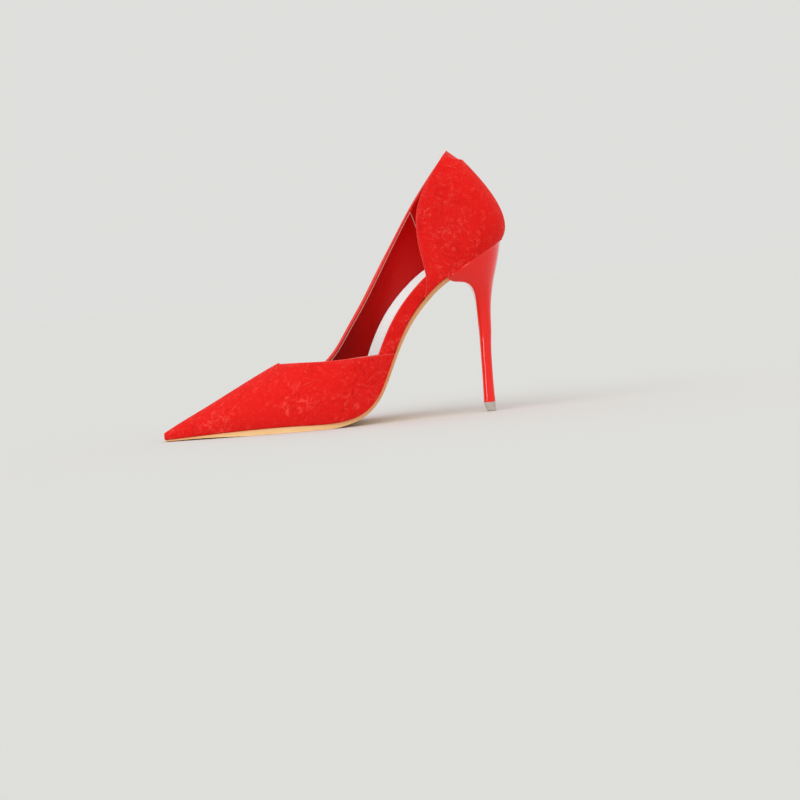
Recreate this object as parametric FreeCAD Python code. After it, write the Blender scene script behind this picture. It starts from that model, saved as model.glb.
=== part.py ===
import FreeCAD, Part
import math
import os
from FreeCAD import Vector

# High heel pump, right shoe, in millimetres.
# -X is the toe, +X the heel, -Y the medial (cut-away) side, +Z up, z = 0 the ground.

# ---- driving dimensions ----
TOE_X = -110.0              # tip of the pointed toe
HEEL_X = 107.6              # back of the heel seat, where the upper meets the heel
TOE_ROUND = 7.0             # length over which the toe tip rounds off
HEEL_ROUND = 21.0           # length over which the heel seat rounds off
THROAT_X = -36.0            # front of the foot opening on the ridge of the vamp
SUEDE = 1.2                 # thickness of the suede
STIFFENER = 0.8             # thickness of toe puff, heel counter and interlining
LINING = 0.7                # thickness of the lining
GAP = 0.06                  # glue line between layers
MARGIN_WIDTH = 13.0         # lasting margin turned under the insole board
BOARD = 2.0                 # insole board
CUSHION = 1.0               # foam under the sock
SOCK = 0.8                  # sock lining
STRIP_HEIGHT = 8.8          # height of the waist strip above the outsole
STRIP_FRONT = 31.5          # front end of the strip, tucked under the vamp
FILM = 0.4                  # glossy cover of the heel
STEM_X = 91.4               # axis of the steel tube in the heel stem
TUBE_RADIUS = 2.0
TUBE_BORE = 1.2
TUBE_TOP = 74.0
STEM_END = 5.6              # top face of the replaceable top piece
MIDDLE = (0.402, 2.910)     # middle of the finished length and width, which becomes the origin

# Side profile of the lasted bottom (x, z): the face where the outsole is cemented on.
BOTTOM = [(-112, 1.0), (-80, 2.6), (-50, 3.6), (-25, 3.5), (-8, 3.2), (3, 4.2), (12.3, 7.0), (19.1, 11.8),
          (25, 19.3), (31.1, 31.6), (36.9, 44.1), (44.5, 57.7), (54.3, 70.1), (64.2, 79.4), (74.2, 85.8),
          (90, 94.6), (112, 106.4)]

# Half widths of the lasted upper at the feather line (x, medial, lateral).
FEATHER = [(-112, 5.2, 5.2), (-103, 7.0, 7.2), (-85, 13.6, 14.6), (-60, 21.8, 24.5), (-35, 28.4, 32.6),
           (-12, 32.0, 37.4), (5, 31.6, 38.0), (20, 26.8, 35.0), (35, 20.6, 30.0), (50, 17.8, 26.2),
           (65, 19.2, 24.8), (80, 22.6, 24.8), (94, 24.2, 24.4), (112, 24.0, 24.0)]

# Ridge of the last (bottom x, ridge x, ridge z), the vamp ridge first and then the instep.
RIDGE = [(-112, -112, 4.0), (-106, -106, 7.3), (-85, -85, 17.7), (-60, -60, 30.2), (-36, -36, 41.6),
         (-12, -14, 53.0), (8, 4, 73.0), (24, 22, 99.0), (38, 35, 123.0), (54, 47, 145.0),
         (70, 57, 160.0), (88, 65.0, 166.8), (107.6, 71.4, 169.0)]

# Section character (bottom x, fullness exponent, side bulge, bow of the section line in x and z).
SECTION = [(-112, 2.0, 0.0, 0, 0), (-85, 1.9, 0.8, 0, 0), (-36, 2.0, 1.8, 0, 0), (0, 2.3, 2.2, 0, 0),
           (24, 3.0, 1.8, 0, 0), (45, 4.2, 1.6, 1.5, 0), (65, 5.5, 2.4, 6, -2), (85, 6.5, 3.2, 15.3, -6),
           (100, 7.0, 3.2, 27.4, -12.3), (107.6, 7.0, 3.2, 32.4, -15.3)]

# Edges of the upper seen from the side (x, z).
OUTER_TOPLINE = [(-36, 41.1), (-27, 37.2), (-18.5, 35.0), (-12, 36.0), (-6.2, 40.4), (0.7, 48.2),
                 (7.4, 58.0), (18.6, 74.5), (29.6, 92.2), (41.0, 110.0), (50.9, 125.4), (61.8, 140.6),
                 (79.0, 161.8)]
OUTER_BACK = [(79.0, 161.8), (82.4, 158.0), (85.8, 154.2)]
INNER_VAMP_EDGE = [(-36, 41.1), (-22, 41.0), (-8, 40.7), (8, 41.0), (22, 41.2), (36.5, 41.2)]
INNER_QUARTER_FRONT = [(75.9, 158.5), (64.2, 142.5), (57.2, 128.5), (55.2, 116.0), (56.3, 100.0),
                       (58.3, 86.0), (57.0, 74.0), (52.0, 60.0)]
INNER_BACK = [(75.9, 158.5), (80.6, 155.3), (85.8, 154.2)]

# Outsole thickness along the shoe: skived thin at the toe and under the waist.
SOLE_THICKNESS = [(-112, 0.8), (-100, 1.2), (-80, 2.0), (-52, 3.8), (-25, 3.8), (-9, 3.5), (3, 2.85),
                  (12, 2.4), (25, 1.9), (33, 1.9), (45, 2.4), (56, 2.7), (76, 2.6)]


class Spline:
    """Natural cubic spline through hand-set rows (key, value, ...), read by key."""

    def __init__(self, rows):
        self.keys = [float(row[0]) for row in rows]
        self.columns = [[float(row[c]) for row in rows] for c in range(1, len(rows[0]))]
        self.moments = [self.solve(column) for column in self.columns]

    def solve(self, column):
        keys = self.keys
        count = len(keys)
        upper = [0.0] * count
        right = [0.0] * count
        for i in range(1, count - 1):
            before = keys[i] - keys[i - 1]
            after = keys[i + 1] - keys[i]
            bend = 6 * ((column[i + 1] - column[i]) / after - (column[i] - column[i - 1]) / before)
            pivot = 2 * (before + after) - before * upper[i - 1]
            upper[i] = after / pivot
            right[i] = (bend - before * right[i - 1]) / pivot
        moments = [0.0] * count
        for i in range(count - 2, 0, -1):
            moments[i] = right[i] - upper[i] * moments[i + 1]
        return moments

    def at(self, key):
        i = 0
        while i < len(self.keys) - 2 and key > self.keys[i + 1]:
            i += 1
        span = self.keys[i + 1] - self.keys[i]
        b = (key - self.keys[i]) / span
        a = 1 - b
        values = []
        for column, moments in zip(self.columns, self.moments):
            curve = (a ** 3 - a) * moments[i] + (b ** 3 - b) * moments[i + 1]
            values.append(a * column[i] + b * column[i + 1] + curve * span * span / 6)
        return values


bottom_line = Spline(BOTTOM)
feather_line = Spline(FEATHER)
ridge_line = Spline(RIDGE)
section_line = Spline(SECTION)


def end_round(distance, length):
    """Quarter-ellipse factor, 0 at an end and 1 from `length` onwards."""
    if distance >= length:
        return 1.0
    return math.sqrt(max(0.0, 1 - (1 - distance / length) ** 2))


def half_width(x, side):
    """Feather half width at x; side is -1 medial, +1 lateral."""
    medial, lateral = feather_line.at(x)
    width = lateral if side > 0 else medial
    return width * end_round(x - TOE_X, TOE_ROUND) * end_round(HEEL_X - x, HEEL_ROUND)


def last_point(s, a, side):
    """Point on the outside of the upper: s runs toe to heel, a from feather (0) to ridge (1)."""
    x = (TOE_X + HEEL_X) / 2 - (HEEL_X - TOE_X) / 2 * math.cos(math.pi * s)
    base_x, base_z = x, bottom_line.at(x)[0] + SUEDE / 2
    top_x, top_z = ridge_line.at(x)
    power, bulge, bow_x, bow_z = section_line.at(x)
    h = math.sin(a * math.pi / 2)
    mid_x = (base_x + top_x) / 2 + bow_x
    mid_z = (base_z + top_z) / 2 + bow_z
    px = (1 - h) ** 2 * base_x + 2 * h * (1 - h) * mid_x + h * h * top_x
    pz = (1 - h) ** 2 * base_z + 2 * h * (1 - h) * mid_z + h * h * top_z
    width = half_width(x, side)
    full = math.sqrt(max(0.0, 1 - h ** power))
    swell = bulge * math.sin(math.pi * h ** 0.7) * min(1.0, width / 16)
    if a >= 1:
        full, swell = 0.0, 0.0
    return Vector(px, side * (width * full + swell), pz)


def inward_point(s, a, side, depth):
    """last_point moved into the shoe by depth along the surface normal."""
    step = 0.004
    s0, s1 = max(s - step, 0.0), min(s + step, 1.0)
    a0, a1 = max(a - step, 0.0), min(a + step, 1.0)
    along = last_point(s1, a, side) - last_point(s0, a, side)
    up = last_point(s, a1, side) - last_point(s, a0, side)
    normal = along.cross(up) * side
    if s <= 0 or s >= 1:
        normal = Vector(-up.z, 0, up.x) if s <= 0 else Vector(up.z, 0, -up.x)
    elif a >= 1:
        normal = Vector(-along.z, 0, along.x)
    elif normal.y * side < 0:
        normal = normal * -1
    normal.normalize()
    return last_point(s, a, side) - normal * depth


def surface(rows):
    skin = Part.BSplineSurface()
    skin.interpolate(rows)
    return skin


def station(x):
    """s of the section whose foot is at x."""
    middle = (TOE_X + HEEL_X) / 2
    return math.acos((middle - x) / ((HEEL_X - TOE_X) / 2)) / math.pi


def over_the_top(x_from, x_to, base=0.0):
    """Grid (s, a, side) from the lateral feather line over the ridge down to the medial one."""
    s_from = 0.004 if x_from is None else station(x_from)
    s_to = 0.996 if x_to is None else station(x_to)
    levels = [base + (1 - base) * j / 13 for j in range(14)]
    across = [(a, 1) for a in levels] + [(a, -1) for a in reversed(levels[:-1])]
    return [[(s_from + (s_to - s_from) * i / 33, a, side) for a, side in across] for i in range(34)]


def round_the_back(x_from, base=0.0):
    """Grid (s, a, side) from the lateral waist round the heel to the medial waist."""
    s_from = station(x_from)
    along = [s_from + (1 - s_from) * i / 17 for i in range(18)]
    path = [(s, 1) for s in along] + [(s, -1) for s in reversed(along[:-1])]
    return [[(s, base + (0.985 - base) * j / 13, side) for j in range(14)] for s, side in path]


def wall(grid, depth_out, depth_in):
    """Layer of the upper between two depths below its outer face, as a closed six-faced solid."""
    outer, inner = [surface([[inward_point(s, a, side, depth) for s, a, side in row] for row in grid])
                    for depth in (depth_out, depth_in)]
    faces = [outer.toShape(), inner.toShape()]
    u0, u1, v0, v1 = outer.bounds()
    w0, w1, t0, t1 = inner.bounds()
    for first, second in ((outer.uIso(u0), inner.uIso(w0)), (outer.uIso(u1), inner.uIso(w1)),
                          (outer.vIso(v0), inner.vIso(t0)), (outer.vIso(v1), inner.vIso(t1))):
        faces.append(rim(first, second))
    return sewn(faces)


def rim(first, second):
    """Narrow face between matching edges of two surfaces."""
    straight = Part.makeRuledSurface(first.toShape(), second.toShape())
    turned = second.copy()
    turned.reverse()
    crossed = Part.makeRuledSurface(first.toShape(), turned.toShape())
    return straight if straight.Area < crossed.Area else crossed


def sewn(faces):
    shell = Part.Compound(faces)
    shell.sewShape(0.002)
    solid = Part.Solid(shell.Shells[0])
    if solid.Volume < 0:
        solid.reverse()
    return solid


def spline_edge(points):
    curve = Part.BSplineCurve()
    curve.interpolate([Vector(x, 0, z) for x, z in points])
    return curve.toShape()


def side_prism(curves, corners, y_from, y_to):
    """Prism through the shoe, drawn in side view: curves run in order, corners close the outline."""
    edges = [spline_edge(points) if len(points) > 2 else
             Part.LineSegment(Vector(points[0][0], 0, points[0][1]),
                              Vector(points[1][0], 0, points[1][1])).toShape() for points in curves]
    loose = [curves[-1][-1]] + list(corners) + [curves[0][0]]
    for start, end in zip(loose, loose[1:]):
        edges.append(Part.LineSegment(Vector(start[0], 0, start[1]), Vector(end[0], 0, end[1])).toShape())
    face = Part.Face(Part.Wire(edges))
    face.translate(Vector(0, y_from, 0))
    return face.extrude(Vector(0, y_to - y_from, 0))



def keep_side(side):
    """y range of a prism that keeps one side of the shoe."""
    return (0.0, 70.0) if side > 0 else (-70.0, 0.0)


def band(low, high, x_from, x_to):
    """Curved plate between two offsets above the lasted bottom, full width; low may vary with x."""
    edges = []
    ends = []
    for level in (low, high):
        points = []
        steps = max(6, int((x_to - x_from) / 4))
        for i in range(steps + 1):
            x = x_from + (x_to - x_from) * i / steps
            offset = level(x) if callable(level) else level
            slope = bottom_line.at(x + 0.01)[0] - bottom_line.at(x - 0.01)[0]
            angle = math.atan2(slope, 0.02)
            z = bottom_line.at(x)[0]
            points.append((x - offset * math.sin(angle), z + offset * math.cos(angle)))
        edges.append(spline_edge(points))
        ends.append((points[0], points[-1]))
    for k in (0, 1):
        (x0, z0), (x1, z1) = ends[0][k], ends[1][k]
        edges.append(Part.LineSegment(Vector(x0, 0, z0), Vector(x1, 0, z1)).toShape())
    face = Part.Face(Part.Wire(Part.sortEdges(edges)[0]))
    face.translate(Vector(0, -70, 0))
    return face.extrude(Vector(0, 140, 0))


def plan_prism(inset, x_from=None, x_to=None, narrow=None, centre=0.0):
    """Upright prism on the plan outline of the feather line, drawn in by inset; narrow caps the width."""
    x0 = TOE_X + inset * 1.6 if x_from is None else x_from
    x1 = HEEL_X - inset if x_to is None else x_to
    count = 40
    sides = {}
    for side in (-1, 1):
        points = []
        for i in range(count + 1):
            x = (x0 + x1) / 2 - (x1 - x0) / 2 * math.cos(math.pi * i / count)
            width = outline_width(x, side, inset, x0, x1, x_from, x_to)
            if narrow is not None:
                width = min(width, narrow)
            points.append(Vector(x, centre + side * width, 0))
        sides[side] = points
    edges = []
    for side in (-1, 1):
        curve = Part.BSplineCurve()
        curve.interpolate(sides[side])
        edges.append(curve.toShape())
    for k in (0, -1):
        if (sides[1][k] - sides[-1][k]).Length > 0.01:
            edges.append(Part.LineSegment(sides[-1][k], sides[1][k]).toShape())
    face = Part.Face(Part.Wire(Part.sortEdges(edges)[0]))
    face.translate(Vector(0, 0, -30))
    return face.extrude(Vector(0, 0, 220))


def outline_width(x, side, inset, x0, x1, x_from, x_to):
    medial, lateral = feather_line.at(x)
    width = (lateral if side > 0 else medial) - inset
    if x_from is None:
        width *= end_round(x - x0, TOE_ROUND)
    if x_to is None:
        width *= end_round(x1 - x, HEEL_ROUND)
    return max(width, 0.0)


def tube(x, y, z_from, z_to, radius):
    return Part.makeCylinder(radius, z_to - z_from, Vector(x, y, z_from))


def on_bottom(x, y, offset):
    """Point and upward normal on the lasted bottom, offset above it."""
    slope = bottom_line.at(x + 0.01)[0] - bottom_line.at(x - 0.01)[0]
    angle = math.atan2(slope, 0.02)
    normal = Vector(-math.sin(angle), 0, math.cos(angle))
    return Vector(x, y, bottom_line.at(x)[0]) + normal * offset, normal


# ---- outlines of the pieces of the upper, in side view ----
FAR = 150.0
outer_region = side_prism([OUTER_TOPLINE, OUTER_BACK],
                          [(FAR, 110), (FAR, -30), (-FAR, -30), (-FAR, 90), (THROAT_X, 90)], *keep_side(1))
inner_vamp_region = side_prism([INNER_VAMP_EDGE],
                               [(INNER_VAMP_EDGE[-1][0], -30), (-FAR, -30), (-FAR, 90), (THROAT_X, 90)],
                               *keep_side(-1))
inner_quarter_region = side_prism([list(reversed(INNER_QUARTER_FRONT)), INNER_BACK],
                                  [(FAR, 110), (FAR, -30), (INNER_QUARTER_FRONT[-1][0], -30)],
                                  *keep_side(-1))


def margin(x_from, x_to, side):
    """Lasting margin: the edge of the upper turned under the insole board."""
    ring = band(0.0, SUEDE, TOE_X + 1, HEEL_X).common(plan_prism(0.5))
    ring = ring.cut(plan_prism(MARGIN_WIDTH, x_from=-82.0, x_to=None))
    y_from, y_to = keep_side(side)
    block = Part.makeBox(x_to - x_from, y_to - y_from, 260, Vector(x_from, y_from, -40))
    return ring.common(block)


# ---- suede ----
upper_region = outer_region.fuse(inner_vamp_region)


def vamp_and_outer_quarter():
    hull = wall(over_the_top(None, None), 0.0, SUEDE).common(upper_region)
    turned_under = margin(-FAR, FAR, 1).fuse(margin(-FAR, 37.0, -1))
    return hull.fuse(turned_under)


def inner_quarter():
    hull = wall(round_the_back(45.0), 0.0, SUEDE).common(inner_quarter_region)
    return hull.fuse(margin(58.0, FAR, -1))


def strip_region(height, x_from, x_to):
    """Side view of the strip along the waist, up to a height above the outsole."""
    top = []
    for i in range(8):
        point, normal = on_bottom(x_from + (x_to - x_from) * i / 7, 0, height)
        top.append((point.x, point.z))
    return side_prism([top], [(top[-1][0] + 25, 40), (x_from, -30)], *keep_side(-1))


def waist_strip():
    first = SUEDE + GAP
    grid = over_the_top(20.0, 80.0)
    return wall(grid, first, first + SUEDE * 0.7).common(strip_region(STRIP_HEIGHT, STRIP_FRONT, 66.0))


# ---- stiffeners between suede and lining ----
LAYER = SUEDE + 0.9         # depth at which the lining starts


def toe_puff():
    first = SUEDE + GAP
    return wall(over_the_top(-101.0, -62.0, 0.02), first, first + STIFFENER)


def interlining():
    first = SUEDE + GAP
    region = lowered(OUTER_TOPLINE, 1, 4.0).fuse(lowered(INNER_VAMP_EDGE[:-1], -1, 4.0))
    return wall(over_the_top(-61.5, 59.0, 0.02), first, first + STIFFENER).common(region)


def lowered(edge, side, drop):
    """Region below an edge of the upper, its boundary dropped by the width of the folded edge."""
    points = [(x, z - drop) for x, z in edge]
    return side_prism([points], [(points[-1][0], -30), (-FAR, -30), (-FAR, 90),
                                 (THROAT_X, 90)], *keep_side(side))


def heel_counter():
    """Moulded stiffener round the heel, lower than the topline."""
    top = [(62.0, 88.0), (66.0, 104.0), (78.0, 126.0), (96.0, 133.0), (120.0, 128.0)]
    region = side_prism([top], [(120, -30), (62.0, -30)], -70, 70)
    first = SUEDE + GAP
    return wall(round_the_back(59.5, 0.02), first, first + STIFFENER).common(region)


# ---- linings ----
GRIP_FRONT = [(50.5, 132.0), (53.5, 125.0), (55.8, 118.0), (60.5, 105.0), (66.0, 90.0), (69.0, 70.0)]
LINING_SPLIT = -8.0         # butt joint between vamp lining and outer quarter lining


def grip_block(front):
    """Everything behind the front edge of the heel grip."""
    return side_prism([front], [(69.0, -30), (FAR, -30), (FAR, 200), (57.5, 200)], -70, 70)


def forepart_lining(x_from, x_to):
    return wall(over_the_top(x_from, x_to, 0.03), LAYER, LAYER + LINING)


def vamp_lining():
    rear = Part.makeBox(200, 80, 240, Vector(LINING_SPLIT, 0, -20))
    return forepart_lining(-97.0, 45.0).common(upper_region).cut(rear)


def outer_quarter_lining():
    rear = Part.makeBox(200, 70, 240, Vector(LINING_SPLIT + 0.1, 0, -20))
    region = outer_region.common(rear)
    return forepart_lining(-20.0, 98.0).common(region).cut(grip_block(GRIP_FRONT))


def heel_grip():
    gap = [(x + 0.2, z) for x, z in GRIP_FRONT]
    region = outer_region.common(grip_block(gap)).fuse(inner_quarter_region)
    return wall(round_the_back(45.0, 0.03), LAYER, LAYER + LINING).common(region)


def strip_lining():
    first = SUEDE * 1.7 + 2 * GAP
    region = strip_region(STRIP_HEIGHT - 0.3, 35.4, 66.0)
    block = Part.makeBox(20.0, 140, 200, Vector(35.0, -70, -20))
    grid = over_the_top(20.0, 80.0, 0.03)
    return wall(grid, first, LAYER + LINING).common(region).common(block)


# ---- bottom ----
BOARD_BASE = SUEDE + GAP
BOARD_INSET = LAYER + LINING + 0.25
CUSHION_BASE = BOARD_BASE + BOARD + GAP
SOCK_BASE = CUSHION_BASE + CUSHION + GAP
RIVETS = (22.0, 84.0)
SHANK_Y = 4.0
NAILS = ((80.0, 14.0), (80.0, -13.0), (97.0, 11.0), (97.0, -11.0))


def insole_board():
    board = band(BOARD_BASE, BOARD_BASE + BOARD, TOE_X + 5, HEEL_X)
    board = board.common(plan_prism(BOARD_INSET))
    return drilled(board, 0.05)


def drilled(piece, play):
    """Cut the holes of rivets, nails and heel screw."""
    for x in RIVETS:
        point, normal = on_bottom(x, SHANK_Y, -4.0)
        piece = piece.cut(Part.makeCylinder(1.5 + play, 12, point, normal))
    for x, y in NAILS:
        piece = piece.cut(tube(x, y, nail_top(x) - 12, nail_top(x) + 3, 0.8 + play))
    return piece.cut(tube(STEM_X, 0, TUBE_TOP + 1, bottom_line.at(STEM_X)[0] + 8, 2.0 + play))


def nail_top(x):
    return bottom_line.at(x)[0] + BOARD_BASE + BOARD + 0.2


def shank():
    plate = band(0.05, SUEDE - 0.05, 6.0, 98.0)
    outline = Part.makeBox(90, 10, 220, Vector(7.5, SHANK_Y - 5, -20))
    rounded = outline.makeFillet(4.9, [e for e in outline.Edges if e.Length > 200])
    plate = plate.common(rounded)
    for x in RIVETS:
        point, normal = on_bottom(x, SHANK_Y, -4.0)
        plate = plate.cut(Part.makeCylinder(1.55, 12, point, normal))
    return plate.cut(tube(STEM_X, 0, 60, 140, 2.05))


def shank_rivets():
    rivets = []
    for x in RIVETS:
        point, normal = on_bottom(x, SHANK_Y, 0.1)
        rivets.append(Part.makeCylinder(1.5, BOARD_BASE + BOARD - 0.1, point, normal))
    return Part.Compound(rivets)


def bottom_filler():
    sheet = band(0.05, SUEDE - 0.05, -84.0, 6.5)
    return sheet.common(plan_prism(MARGIN_WIDTH + 0.3, x_from=-81.5))


def cushion():
    sheet = band(CUSHION_BASE, CUSHION_BASE + CUSHION, TOE_X + 5, HEEL_X)
    return sheet.common(plan_prism(BOARD_INSET + 0.3))


def sock_lining():
    sheet = band(SOCK_BASE, SOCK_BASE + SOCK, TOE_X + 5, HEEL_X)
    return sheet.common(plan_prism(BOARD_INSET + 0.2))


# Half widths of the outsole (x, medial, lateral): narrow under the waist.
SOLE = [(-112, 4.6, 4.6), (-103, 6.0, 6.2), (-85, 12.8, 13.8), (-60, 21.0, 23.7), (-35, 27.6, 31.8),
        (-12, 30.8, 36.2), (5, 28.8, 35.2), (20, 22.0, 30.2), (35, 15.0, 24.5), (50, 12.6, 21.0),
        (65, 14.4, 20.0), (80, 17.0, 19.5)]


def outsole():
    sole_line = Spline(SOLE)
    sole_thickness = Spline(SOLE_THICKNESS)
    x0, x1 = TOE_X + 0.6, 78.0
    plate = band(lambda x: -sole_thickness.at(x)[0], -0.05, x0 - 3, 75.0)
    curves = []
    for side in (0, 1):
        points = []
        for i in range(31):
            x = x0 + (x1 - x0) * (1 - math.cos(math.pi * i / 60)) if i < 30 else x1
            width = sole_line.at(x)[side] * end_round(x - x0, TOE_ROUND)
            points.append(Vector(x, width if side else -width, -30))
        curve = Part.BSplineCurve()
        curve.interpolate(points)
        curves.append(curve.toShape())
    ends = [edge.valueAt(edge.LastParameter) for edge in curves]
    outline = Part.Face(Part.Wire(Part.sortEdges(curves + [Part.LineSegment(*ends).toShape()])[0]))
    plate = plate.common(outline.extrude(Vector(0, 0, 220)))
    ground = Part.makeBox(400, 200, 300, Vector(-200, -100, 0))
    return plate.common(ground)


# ---- heel ----
# Sections down the heel (level, centre x, half length, half width, z at centre, slope, fullness).
HEEL_SECTIONS = [(0, 84.3, 22.0, 23.9, 91.5, 28.0, 2.2), (1, 86.4, 17.2, 19.6, 85.1, 21.0, 2.1),
                 (2, 89.4, 10.8, 13.6, 77.7, 12.0, 2.0), (3, 91.7, 6.3, 8.8, 69.4, 5.0, 2.0),
                 (4, 92.2, 4.5, 6.2, 60.0, 2.0, 2.1), (5, 92.2, 3.9, 4.9, 50.0, 0.0, 2.3),
                 (6, 91.7, 3.45, 4.3, 40.0, 0.0, 2.4), (7, 91.4, 3.3, 4.05, 30.0, 0.0, 2.4),
                 (8, 91.2, 3.3, 4.0, 20.0, 0.0, 2.4), (9, 91.05, 3.45, 4.15, 12.0, 0.0, 2.4),
                 (10, 91.0, 3.6, 4.3, STEM_END + 0.1, 0.0, 2.4)]

# Hollow front face of the heel, side view, from the seat down the stem.
BREAST = [(70.5, 86.0), (72.6, 82.6), (76.5, 80.9), (81.5, 80.2), (85.3, 77.6), (87.4, 72.4), (88.1, 64.0),
          (88.1, 50.0), (87.6, 36.0), (87.0, 18.0), (86.0, 0.0)]


def ring(cx, half_x, half_y, z, slope, power):
    points = []
    for i in range(36):
        angle = 2 * math.pi * i / 36
        c, s = math.cos(angle), math.sin(angle)
        u = math.copysign(abs(c) ** (2 / power), c) * half_x
        v = math.copysign(abs(s) ** (2 / power), s) * half_y
        points.append(Vector(cx + u, v, z + math.tan(math.radians(slope)) * u))
    curve = Part.BSplineCurve()
    curve.interpolate(points, True)
    return Part.Wire(curve.toShape())


def heel_body(shrink, extra=0.0):
    """Whole heel drawn in by shrink; extra lengthens both ends so that it can serve as a cutter."""
    wires = []
    last = HEEL_SECTIONS[-1][0]
    for level, cx, half_x, half_y, z, slope, power in HEEL_SECTIONS:
        z += extra * ((level == 0) - (level == last))
        wires.append(ring(cx, half_x - shrink, half_y - shrink, z, slope, power))
    upper = Part.makeLoft(wires[:6], True, False)
    stem = Part.makeLoft(wires[5:], True, False)
    body = upper.fuse(stem)
    front = [(x + shrink, z - shrink * 0.3) for x, z in BREAST]
    cutter = side_prism([front], [(30, 0), (30, 120), (front[0][0], 120)], -70, 70)
    return body.cut(cutter)


def heel_cover():
    return heel_body(0.0).cut(heel_body(FILM - 0.05, 1.0)).cut(bores())


def bores():
    """Bore of the stem tube and the holes of nails and screw."""
    cuts = [tube(STEM_X, 0, 0, TUBE_TOP + 0.5, TUBE_RADIUS + 0.03),
            tube(STEM_X, 0, TUBE_TOP, 140, 1.55)]
    for x, y in NAILS:
        cuts.append(tube(x, y, nail_top(x) - 10, nail_top(x) + 5, 0.65))
    return Part.Compound(cuts)


def heel_core():
    return heel_body(FILM, 0.0).cut(bores())


def heel_tube():
    outer = tube(STEM_X, 0, STEM_END + 0.4, TUBE_TOP, TUBE_RADIUS)
    return outer.cut(tube(STEM_X, 0, 0, 30, TUBE_BORE))


def heel_screw():
    top = bottom_line.at(STEM_X)[0] + 1.9
    body = tube(STEM_X, 0, TUBE_TOP + 1.5, top, 1.5)
    head = Part.makeCone(1.5, 3.2, 1.6, Vector(STEM_X, 0, top))
    return body.fuse(head)


def heel_nails():
    nails = []
    for x, y in NAILS:
        nails.append(tube(x, y, nail_top(x) - 9.5, nail_top(x), 0.6))
    return Part.Compound(nails)


def top_piece():
    top = ring(91.0, 3.55, 4.25, STEM_END, 0.0, 2.4)
    middle = ring(91.4, 3.2, 4.0, 2.4, 0.0, 2.4)
    ground = ring(91.9, 2.5, 3.5, 0.0, 0.0, 2.3)
    body = Part.makeLoft([top, middle, ground], True, False)
    return body.cut(pin_shape(0.02))


def pin_shape(play):
    stem = tube(STEM_X, 0, 2.6, 20.0, 1.1 + play)
    head = tube(STEM_X, 0, 2.6 - play, 3.5 + play, 2.2 + play)
    return stem.fuse(head)


def top_piece_pin():
    return pin_shape(0.0)


NODES = {
    "vamp_and_outer_quarter": vamp_and_outer_quarter,
    "inner_quarter": inner_quarter,
    "waist_strip": waist_strip,
    "toe_puff": toe_puff,
    "upper_interlining": interlining,
    "heel_counter": heel_counter,
    "vamp_lining": vamp_lining,
    "outer_quarter_lining": outer_quarter_lining,
    "heel_grip": heel_grip,
    "waist_strip_lining": strip_lining,
    "insole_board": insole_board,
    "shank": shank,
    "shank_rivets": shank_rivets,
    "bottom_filler": bottom_filler,
    "cushion_layer": cushion,
    "sock_lining": sock_lining,
    "outsole": outsole,
    "heel_core": heel_core,
    "heel_cover": heel_cover,
    "heel_tube": heel_tube,
    "heel_screw": heel_screw,
    "heel_nails": heel_nails,
    "top_piece": top_piece,
    "top_piece_pin": top_piece_pin,
}

os.makedirs("parts", exist_ok=True)
for name, make in NODES.items():
    shape = make()
    solids = [solid for solid in shape.Solids if solid.Volume > 1.0]
    shape = solids[0] if len(solids) == 1 else Part.Compound(solids)
    shape.translate(Vector(-MIDDLE[0], -MIDDLE[1], 0))
    shape.exportStep("parts/" + name + ".step")
    box = shape.BoundBox
    print("%-24s solids %d valid %s volume %8.0f  x %.1f..%.1f y %.1f..%.1f z %.1f..%.1f" % (
        name, len(solids), shape.isValid(), sum(s.Volume for s in solids),
        box.XMin, box.XMax, box.YMin, box.YMax, box.ZMin, box.ZMax))
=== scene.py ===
import math

import bmesh
import bpy
import numpy as np
from mathutils import Matrix, Vector


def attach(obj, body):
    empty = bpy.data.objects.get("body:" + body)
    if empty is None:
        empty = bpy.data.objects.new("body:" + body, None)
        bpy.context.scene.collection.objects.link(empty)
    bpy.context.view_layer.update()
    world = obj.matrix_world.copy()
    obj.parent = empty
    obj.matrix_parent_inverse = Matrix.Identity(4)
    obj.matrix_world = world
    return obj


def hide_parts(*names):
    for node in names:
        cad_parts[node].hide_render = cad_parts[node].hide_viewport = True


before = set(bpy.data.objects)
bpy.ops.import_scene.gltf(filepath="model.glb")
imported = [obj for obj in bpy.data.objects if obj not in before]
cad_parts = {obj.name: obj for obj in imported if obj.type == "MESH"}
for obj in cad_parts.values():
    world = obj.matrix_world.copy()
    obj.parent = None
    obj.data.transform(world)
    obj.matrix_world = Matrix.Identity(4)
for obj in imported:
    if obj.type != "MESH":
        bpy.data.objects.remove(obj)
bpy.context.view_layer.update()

# ---- Camera ----
# Long lens square to the cut-away (inner) side of the shoe, almost level with it, rolled so
# that the toe tips down.
VIEW_AZIMUTH = -1.0
VIEW_ELEVATION = 3.0
VIEW_ROLL = -5.38
VIEW_DISTANCE = 1.3687
VIEW_AIM = (0.0358, 0.0, 0.0117)
LENS = 100.0

azimuth, elevation = math.radians(VIEW_AZIMUTH), math.radians(VIEW_ELEVATION)
towards = Vector((math.sin(azimuth) * math.cos(elevation), -math.cos(azimuth) * math.cos(elevation),
                  math.sin(elevation)))
camera_data = bpy.data.cameras.new("view_camera")
camera_data.lens = LENS
camera = bpy.data.objects.new("view_camera", camera_data)
bpy.context.scene.collection.objects.link(camera)
turn = towards.to_track_quat("Z", "Y").to_matrix().to_4x4() @ Matrix.Rotation(math.radians(VIEW_ROLL), 4, "Z")
camera.matrix_world = Matrix.Translation(Vector(VIEW_AIM) + towards * VIEW_DISTANCE) @ turn
bpy.context.scene.camera = camera
bpy.context.scene.view_settings.view_transform = "Standard"

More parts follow.
